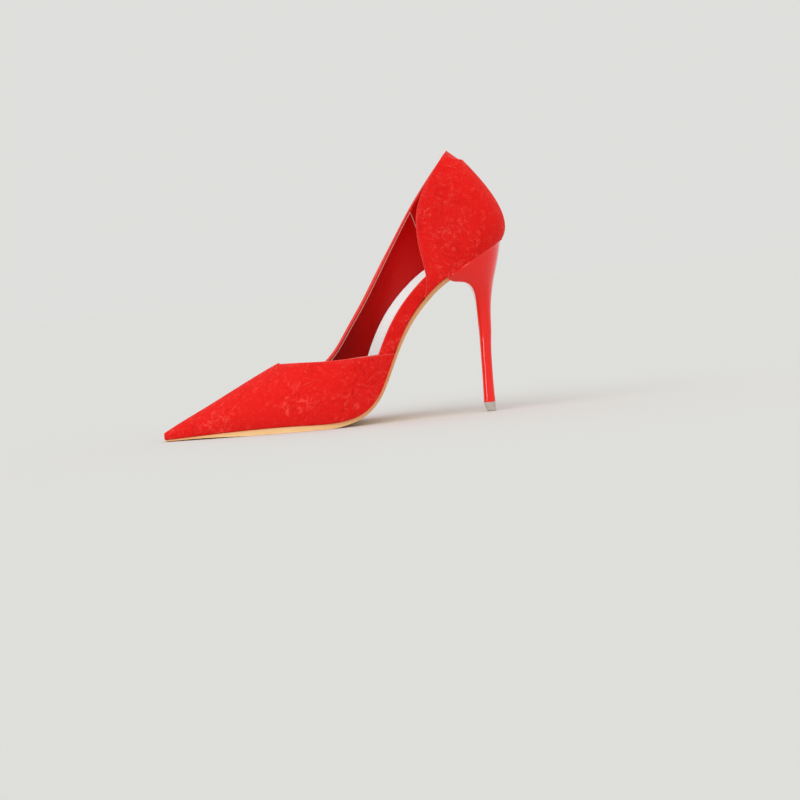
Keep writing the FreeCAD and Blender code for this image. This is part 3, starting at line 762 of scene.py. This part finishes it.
grip_leather = lining_leather("heel_grip_leather", 0.42)
grip_columns = spread(GRIP_STEPS)
outer_grip = panel(grip_columns, lining_rows, 1, GRIP_FRONT, outer_edge, GRIP_DEPTH, TRIM, 0)
inner_grip = panel(grip_columns, lining_rows, -1, INNER_QUARTER_FRONT, inner_edge, GRIP_DEPTH,
                   EDGE_TRIM, 0, setback=0.4)
grip = joined("heel_grip", sheet("outer_grip", GRIP_STEPS, LINING_ROWS, outer_grip),
              sheet("inner_grip", GRIP_STEPS, LINING_ROWS, inner_grip))
thicken(grip, GRIP, [outer_grip(0, v) for v in range(LINING_ROWS + 1)]
        + [inner_grip(u, LINING_ROWS) for u in range(GRIP_HIGHLIGHT_STEPS)], bevel=0.25)
fit(grip, grip_leather, "lining", "heel_grip")

place_strip_lining = strip_place(strip_columns[8:], strip_rows, STRIP_HEIGHT - 0.3, LINING_DEPTH + 0.02, 0)
strip_lining = joined("waist_strip_lining", sheet("strip_lining", STRIP_STEPS - 8, STRIP_ROWS,
                                                  place_strip_lining))
thicken(strip_lining, STRIP_LINING, bevel=0.2)
fit(strip_lining, lining, "lining", "waist_strip_lining")

# ---- Sock lining ----
# Pale smooth leather sock over a thin foam, glued on the insole board; its edges are moulded
# up against the lining, most along the outer side of the waist.
SOCK_BASE = 4.38
SOCK = 0.8
SOCK_INSET = 3.0
SOCK_RISE = 1.3             # how far the edge turns up all round
SOCK_FLAT = 0.64            # share of the half width that lies flat
SOCK_CURL = 0.13
SOCK_ALONG, SOCK_ACROSS = 110, 28
# Extra rise of the outer edge: place along the shoe, height.
SOCK_TURN_UP = [(-110, 0.0), (8, 0.0), (20, 5.0), (34, 8.0), (48, 7.2), (62, 5.6), (78, 3.0),
                (95, 0.0), (110, 0.0)]
turn_up_line = Line(SOCK_TURN_UP)


def on_bottom(x, y, offset):
    """Point above the lasted bottom, square to it."""
    slope = (bottom_line.at(x + 0.05)[0] - bottom_line.at(x - 0.05)[0]) / 0.1
    angle = math.atan(slope)
    return Vector((x - offset * math.sin(angle), y, bottom_line.at(x)[0] + offset * math.cos(angle)))


def sock_place(u, v):
    x_from, x_to = TOE_X + SOCK_INSET * 1.6, HEEL_X - SOCK_INSET
    x = (x_from + x_to) / 2 - (x_to - x_from) / 2 * math.cos(math.pi * u / SOCK_ALONG)
    across = -1 + 2 * v / SOCK_ACROSS
    side = 1 if across > 0 else -1
    medial, lateral = feather_line.at(x)
    width = (lateral if side > 0 else medial) - SOCK_INSET
    width = max(width * end_round(x - x_from, TOE_ROUND) * end_round(x_to - x, HEEL_ROUND), 0.0)
    rise = SOCK_RISE + (max(0.0, turn_up_line.at(x)[0]) if side > 0 else 0.0)
    lift = rise * max(0.0, abs(across) - SOCK_FLAT) ** 2 / SOCK_CURL * min(1.0, width / 12)
    return on_bottom(x, across * width, SOCK_BASE + SOCK + lift)


sock = joined("sock_lining", sheet("sock", SOCK_ALONG, SOCK_ACROSS, sock_place))
if sum(face.normal.z * face.area for face in sock.data.polygons) < 0:
    bpy.ops.object.mode_set(mode="EDIT")
    bpy.ops.mesh.flip_normals()
    bpy.ops.object.mode_set(mode="OBJECT")
apply(sock, "SOLIDIFY", thickness=SOCK / 1000, offset=-1.0)
apply(sock, "BEVEL", width=0.00025, segments=2, limit_method="ANGLE", angle_limit=math.radians(50))
bpy.ops.object.shade_smooth_by_angle(angle=math.radians(40))
sock_leather = Finish("pale_sock_leather", Specular_IOR_Level=0.4)
sock_where = sock_leather.place()
sock_grain = sock_leather.node("ShaderNodeTexVoronoi", {"feature": "DISTANCE_TO_EDGE"}, {
    "Vector": sock_where, "Scale": 1100.0, "Randomness": 1.0})
sock_cloud = sock_leather.noise(18.0, 3.0, 0.4, where=sock_where)
sock_leather.base(sock_leather.blend(sock_cloud, (0.80, 0.80, 0.80), (0.87, 0.875, 0.875)))
sock_leather.rough(0.42 + sock_cloud * 0.15)
sock_leather.bump(sock_leather.ramp(sock_grain, 0.0, 0.1) + sock_cloud, 0.05, 0.4)
fit(sock, sock_leather, "sock", "sock_lining")

# ---- Outsole ----
# Thin leather sole cemented to the lasted bottom, its edge trimmed and stained light tan;
# it thins towards the toe and the waist and ends under the front lip of the heel.
SOLE_END = 73.4
SOLE_STEPS = 120
GLUE = 0.05
# Half widths: place along, on the inner side, on the outer side.
SOLE = [(-112, 4.6, 4.6), (-103, 6.0, 6.2), (-85, 12.8, 13.8), (-60, 21.0, 23.7), (-35, 27.6, 31.8),
        (-12, 30.8, 36.2), (5, 28.8, 35.2), (20, 22.0, 30.2), (35, 15.0, 24.5), (50, 12.6, 21.0),
        (65, 14.4, 20.0), (80, 17.0, 19.5)]
# Thickness: place along, mm.
SOLE_THICKNESS = [(-112, 0.8), (-100, 1.2), (-80, 2.0), (-52, 3.8), (-25, 3.8), (-9, 3.5), (3, 2.85),
                  (12, 2.4), (25, 1.9), (33, 1.9), (45, 2.4), (56, 2.7), (76, 2.6)]
# Profile round the sole: share of the half width, extra width, share of the thickness.
SOLE_PROFILE = [(-0.92, 0, 0), (-0.5, 0, 0), (0, 0, 0), (0.5, 0, 0), (0.92, 0, 0), (1, -0.12, 0.02),
                (1, 0.08, 0.2), (1, 0.16, 0.5), (1, 0.02, 0.8), (1, -0.35, 0.97), (0.9, 0, 1),
                (0.5, 0, 1), (0, 0, 1), (-0.5, 0, 1), (-0.9, 0, 1), (-1, -0.35, 0.97), (-1, 0.02, 0.8),
                (-1, 0.16, 0.5), (-1, 0.08, 0.2), (-1, -0.12, 0.02)]
sole_line = Line(SOLE)
sole_thickness = Line(SOLE_THICKNESS)


def sole_place(u, v):
    x_from = TOE_X + 0.6
    x = x_from + (SOLE_END - x_from) * (1 - math.cos(math.pi * u / (2 * SOLE_STEPS)))
    medial, lateral = sole_line.at(x)
    share, extra, down = SOLE_PROFILE[v % len(SOLE_PROFILE)]
    width = (lateral if share > 0 else medial) * end_round(x - x_from, TOE_ROUND)
    y = share * max(width, 0.05) + math.copysign(extra, share) * min(1.0, width / 4)
    point = on_bottom(x, y, -GLUE - down * (sole_thickness.at(x)[0] - GLUE))
    point.z = max(point.z, 0.0)
    return point


def capped(name, piece):
    """Close the open ends of a piece built round and turn its faces outwards."""
    piece = joined(name, piece)
    bpy.ops.object.mode_set(mode="EDIT")
    bpy.ops.mesh.select_all(action="DESELECT")
    bpy.ops.mesh.select_non_manifold(extend=False, use_wire=False, use_boundary=True,
                                     use_multi_face=False, use_non_contiguous=False, use_verts=False)
    bpy.ops.mesh.fill()
    bpy.ops.mesh.select_all(action="SELECT")
    bpy.ops.mesh.normals_make_consistent(inside=False)
    bpy.ops.object.mode_set(mode="OBJECT")
    return piece


outsole = capped("outsole", sheet("sole", SOLE_STEPS, len(SOLE_PROFILE), sole_place))
bpy.ops.object.shade_smooth_by_angle(angle=math.radians(38))
depth_in_sole = outsole.data.attributes.new("down_mm", "FLOAT", "POINT")
depth_in_sole.data.foreach_set("value", [
    min(3.0, max(0.0, -above_bottom(Vector((v.co.x * 1000 + MIDDLE[0], 0, v.co.z * 1000)))))
    for v in outsole.data.vertices])
sole_leather = Finish("tan_sole_leather", Specular_IOR_Level=0.35)
sole_where = sole_leather.place()
down = sole_leather.attribute("down_mm")
fibres = sole_leather.noise(1.2, 3.0, 0.6, where=sole_where)
sole_cloud = sole_leather.noise(16.0, 3.0, where=sole_where)
edge_tone = sole_leather.blend(sole_leather.ramp(down, 0.2, 1.5), (0.98, 0.42, 0.16), (0.92, 0.62, 0.27))
edge_tone = sole_leather.blend(fibres * 0.35, edge_tone, (0.70, 0.36, 0.15))
edge_tone = sole_leather.blend(sole_leather.ramp(down, 0.3, 0.05), edge_tone, (0.42, 0.06, 0.03))
sole_leather.base(sole_leather.blend(sole_cloud * 0.3, edge_tone, (0.95, 0.62, 0.30)))
sole_leather.rough(0.5 + fibres * 0.2)
sole_leather.bump(fibres + sole_cloud, 0.06, 0.5)
fit(outsole, sole_leather, "sole_leather", "outsole")

# ---- Heel ----
# Moulded stiletto heel in glossy red: a cup that takes the heel seat, swept down into a thin
# stem round a steel tube, with a hollow front face cut to a crisp edge along both sides.
# Rings down the heel: number, middle along, half length, half width, height, tilt, roundness.
HEEL_SECTIONS = [(0, 84.3, 22.0, 23.9, 91.5, 28.0, 2.2), (1, 86.4, 17.2, 19.6, 85.1, 21.0, 2.1),
                 (2, 89.4, 10.8, 13.6, 77.7, 12.0, 2.0), (3, 91.7, 6.3, 8.8, 69.4, 5.0, 2.0),
                 (4, 92.2, 4.5, 6.2, 60.0, 2.0, 2.1), (5, 92.2, 3.9, 4.9, 50.0, 0.0, 2.3),
                 (6, 91.7, 3.45, 4.3, 40.0, 0.0, 2.4), (7, 91.4, 3.3, 4.05, 30.0, 0.0, 2.4),
                 (8, 91.2, 3.3, 4.0, 20.0, 0.0, 2.4), (9, 91.05, 3.45, 4.15, 12.0, 0.0, 2.4),
                 (10, 91.0, 3.6, 4.3, 5.7, 0.0, 2.4)]
# Hollow front face in side view: place along, height.
BREAST = [(70.5, 86.0), (72.6, 82.6), (76.5, 80.9), (81.5, 80.2), (85.3, 77.6), (87.4, 72.4),
          (88.1, 64.0), (88.1, 50.0), (87.6, 36.0), (87.0, 18.0), (86.0, 0.0)]
ROUND_STEPS = 48
FRONT_STEPS = 14
BREAST_STEPS = 400
SEAT_FROM = 72.5            # the seat flares out to the upper behind this place
SEAT_FLARE = 1.2
SEAT_GAP = 0.15
heel_line = Line(HEEL_SECTIONS)
lengths = [0.0]
for (x0, z0), (x1, z1) in zip(BREAST, BREAST[1:]):
    lengths.append(lengths[-1] + math.hypot(x1 - x0, z1 - z0))
breast_line = Line([(t, x, z) for t, (x, z) in zip(lengths, BREAST)])
breast_points = [breast_line.at(lengths[-1] * k / BREAST_STEPS) for k in range(BREAST_STEPS + 1)]


def breast_cut(cx, z, rise):
    """x at which a tilted ring's plane meets the hollow front face."""
    previous = None
    for bx, bz in breast_points:
        over = bz - (z + rise * (bx - cx))
        if previous is not None and over <= 0:
            share = previous[1] / (previous[1] - over) if previous[1] > over else 1.0
            return previous[0] + (bx - previous[0]) * min(1.0, max(0.0, share))
        previous = (bx, over)
    return breast_points[-1][0]


def heel_ring(level):
    cx, half_x, half_y, z, slope, power = heel_line.at(level)
    rise = math.tan(math.radians(slope))
    cut_at = breast_cut(cx, z, rise) - cx
    corner = max(cut_at, -0.93 * half_x)
    start = math.acos(max(-1.0, min(1.0, math.copysign(abs(corner / half_x) ** (power / 2), corner))))
    half_front = half_y * (1 - abs(corner / half_x) ** power) ** (1 / power)
    ring = []
    for k in range(ROUND_STEPS + 1):
        angle = start - 2 * start * k / ROUND_STEPS
        c, s = math.cos(angle), math.sin(angle)
        ring.append((math.copysign(abs(c) ** (2 / power), c) * half_x,
                     math.copysign(abs(s) ** (2 / power), s) * half_y))
    for k in range(1, FRONT_STEPS):
        v = -half_front + 2 * half_front * k / FRONT_STEPS
        ring.append((max(cut_at, -half_x * (1 - abs(v / half_y) ** power) ** (1 / power)), v))
    return [Vector((cx + u, v, z + rise * u)) for u, v in ring]


heel_levels = spread(40, 0.0, 4.0) + spread(30, 4.0, 10.0)[1:]
heel_rings = [heel_ring(level) for level in heel_levels]
for point in heel_rings[0]:
    point.x = min(point.x, HEEL_X - SEAT_GAP)
    side = 1 if point.y > 0 else -1
    if point.x > SEAT_FROM:
        point.y = side * min(abs(point.y) + SEAT_FLARE, half_width(point.x, side) - 0.1)
    point.z = bottom_line.at(point.x)[0] + SEAT_GAP
around = ROUND_STEPS + FRONT_STEPS
heel = capped("stiletto_heel", sheet("heel", around, len(heel_rings) - 1,
                                     lambda u, v: heel_rings[v][u % around]))
apply(heel, "BEVEL", width=0.0009, segments=3, limit_method="ANGLE", angle_limit=math.radians(38),
      harden_normals=False)
bpy.ops.object.shade_smooth_by_angle(angle=math.radians(46))
lacquer = Finish("glossy_red_heel", Coat_Roughness=0.06, Specular_IOR_Level=0.2)
heel_where = lacquer.place()
peel = lacquer.noise(2.6, 2.0, where=heel_where)
scuffs = lacquer.noise(5.0, 4.0, 1.5, where=heel_where)
heel_cloud = lacquer.noise(30.0, 2.0, where=heel_where)
lacquer.base(lacquer.blend(heel_cloud, (0.86, 0.010, 0.006), (0.95, 0.013, 0.008)))
lacquer.rough(0.13 + lacquer.ramp(scuffs, 0.6, 0.75) * 0.12)
lacquer.put(lacquer.shader.inputs["Coat Weight"], 0.42 - lacquer.ramp(scuffs, 0.62, 0.8) * 0.2)
lacquer.bump(peel, 0.012, 0.35)
fit(heel, lacquer, "heel_gloss", "heel_cover", "heel_core")

# ---- Top piece ----
# Replaceable clear plastic tip, held by a steel pin that is driven into the tube of the stem;
# it tapers to a small flat face that meets the ground.
TIP_STEPS = 40
# Rings down the tip: number, middle along, half length, half width, height, roundness.
TOP_SECTIONS = [(0, 91.0, 3.55, 4.25, 5.65, 2.4), (0.15, 91.0, 3.62, 4.32, 5.3, 2.4),
                (1, 91.25, 3.35, 4.1, 3.3, 2.4), (2, 91.6, 2.95, 3.85, 1.2, 2.4),
                (2.6, 91.8, 2.6, 3.55, 0.25, 2.35), (2.8, 91.9, 2.35, 3.35, 0.0, 2.3)]


def tip_place(u, v):
    level, cx, half_x, half_y, z, power = TOP_SECTIONS[v]
    angle = 2 * math.pi * (u % TIP_STEPS) / TIP_STEPS
    c, s = math.cos(angle), math.sin(angle)
    return Vector((cx + math.copysign(abs(c) ** (2 / power), c) * half_x,
                   math.copysign(abs(s) ** (2 / power), s) * half_y, z))


tip = capped("top_piece", sheet("tip", TIP_STEPS, len(TOP_SECTIONS) - 1, tip_place))
bpy.ops.object.shade_smooth_by_angle(angle=math.radians(50))
clear = Finish("clear_tip_plastic", Transmission_Weight=0.55, IOR=1.46)
tip_cloud = clear.noise(3.0, 3.0, where=clear.place())
clear.base(clear.blend(tip_cloud, (0.80, 0.72, 0.62), (0.93, 0.89, 0.84)))
clear.rough(0.16 + tip_cloud * 0.14)
clear.bump(tip_cloud, 0.05, 0.5)
fit(tip, clear, "clear_tip", "top_piece")

# ---- Stitching ----
# One row of fine red thread, sunk a little into the suede, that holds the folded edge down. It
# runs inside the outer top edge, the inner edge of the vamp and the front of the inner quarter.
PITCH = 2.3
STITCH_LENGTH = 1.65
STITCH_WIDTH = 0.3
STITCH_ROW = 1.5            # from the folded edge
STITCH_SUNK = 0.04


def stitch_row(columns, side, top):
    """Points and outward directions along a row inside the top edge."""
    row = []
    for s in columns:
        a = top(s)
        edge_point = skin(s, a, side)
        level = solve(0.0, 1.0, lambda k: (skin(s, a * k, side) - edge_point).length * -1 + STITCH_ROW)
        row.append((skin(s, a * level, side), outward(s, a * level, side)))
    return row


def stitched(rows):
    bpy.ops.object.select_all(action="DESELECT")
    bpy.ops.mesh.primitive_uv_sphere_add(segments=6, ring_count=5, radius=1.0)
    stitch = bpy.context.object
    pattern = stitch.data
    thread = bmesh.new()
    for row in rows:
        walked, ready = 0.0, PITCH / 2
        for (here, up), (after, _) in zip(row, row[1:]):
            step = (after - here).length
            while step > 1e-6 and walked + step >= ready:
                spot = here.lerp(after, (ready - walked) / step)
                along = (after - here).normalized()
                across = up.cross(along).normalized()
                turned = Matrix((along, across, along.cross(across))).transposed().to_4x4()
                size = Matrix.Diagonal((STITCH_LENGTH / 2000, STITCH_WIDTH / 2000, STITCH_WIDTH / 2000, 1))
                put = Matrix.Translation(to_frame(spot - up * STITCH_SUNK)) @ turned @ size @ Matrix.Rotation(
                    math.pi / 2, 4, "Y")
                mark = len(thread.verts)
                thread.from_mesh(pattern)
                thread.verts.ensure_lookup_table()
                bmesh.ops.transform(thread, matrix=put, verts=thread.verts[mark:])
                ready += PITCH
            walked += step
    thread.to_mesh(pattern)
    thread.free()
    stitch.name = pattern.name = "edge_stitching"
    bpy.ops.object.shade_smooth()
    return stitch


outer_row_cuts = [s for s in outer_cuts if THROAT + 0.008 < s < 0.995]
inner_row_cuts = [s for s in inner_cuts if THROAT + 0.008 < s < wing_end - 0.012]
quarter_row = []
for v in range(6, levels - 1):
    inside = quarter_place(1, v).lerp(quarter_place(2, v), 0.35)
    edge_point = quarter_place(0, v)
    direction = (inside - edge_point).normalized()
    quarter_row.append((edge_point + direction * STITCH_ROW, direction.cross(
        quarter_place(0, v + 1) - quarter_place(0, v - 1)).normalized()))
quarter_row = [(p, n if n.y < 0 else -n) for p, n in quarter_row]
stitches = stitched([
    stitch_row(outer_row_cuts, 1, lambda s: height_at(s, 1, outer_edge)),
    stitch_row(inner_row_cuts, -1, lambda s: height_at(s, -1, inner_vamp_edge)),
    quarter_row])
thread_finish = Finish("red_thread", Sheen_Weight=0.2, Specular_IOR_Level=0.4)
twist = thread_finish.noise(0.3, 1.0)
thread_finish.base(thread_finish.blend(twist, (0.60, 0.016, 0.012), (0.74, 0.045, 0.036)))
thread_finish.rough(0.45 + twist * 0.2)
fit(stitches, thread_finish, "suede")

# ---- Hidden parts ----
# Stiffeners, board, shank, cork, foam, fixings and the pin of the tip keep the shape that the
# drawing gives them; each only gets the finish of its material.


def plain_finish(name, low, high, patch_mm, roughness, depth_mm, metal=0.0):
    finish = Finish(name, Metallic=metal)
    speckle = finish.noise(patch_mm, 3.0, 0.4)
    finish.base(finish.blend(speckle, low, high))
    finish.rough(roughness + speckle * 0.15)
    finish.bump(speckle, depth_mm, 0.5)
    return finish


# Finish: pieces, darker and lighter tone, patch in mm, roughness, bump in mm, metal.
HIDDEN = {
    "moulded_stiffener": (("toe_puff", "heel_counter"), (0.62, 0.56, 0.46), (0.74, 0.68, 0.57),
                          2.0, 0.7, 0.1, 0),
    "woven_interlining": (("upper_interlining",), (0.70, 0.68, 0.63), (0.82, 0.80, 0.76), 0.7, 0.85, 0.1, 0),
    "fibre_board": (("insole_board",), (0.34, 0.22, 0.12), (0.44, 0.30, 0.17), 1.5, 0.8, 0.1, 0),
    "cork_filler": (("bottom_filler",), (0.36, 0.20, 0.09), (0.56, 0.36, 0.18), 1.8, 0.85, 0.2, 0),
    "latex_foam": (("cushion_layer",), (0.80, 0.76, 0.62), (0.88, 0.84, 0.72), 0.9, 0.9, 0.1, 0),
    "bright_steel": (("shank", "shank_rivets", "heel_tube", "heel_screw", "heel_nails", "top_piece_pin"),
                     (0.30, 0.29, 0.28), (0.48, 0.47, 0.46), 3.0, 0.28, 0.01, 1.0),
}
for finish_name, (names, *values) in HIDDEN.items():
    finish = plain_finish(finish_name, *values)
    for name in names:
        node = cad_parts[name]
        node.data.materials.clear()
        node.data.materials.append(finish.material)
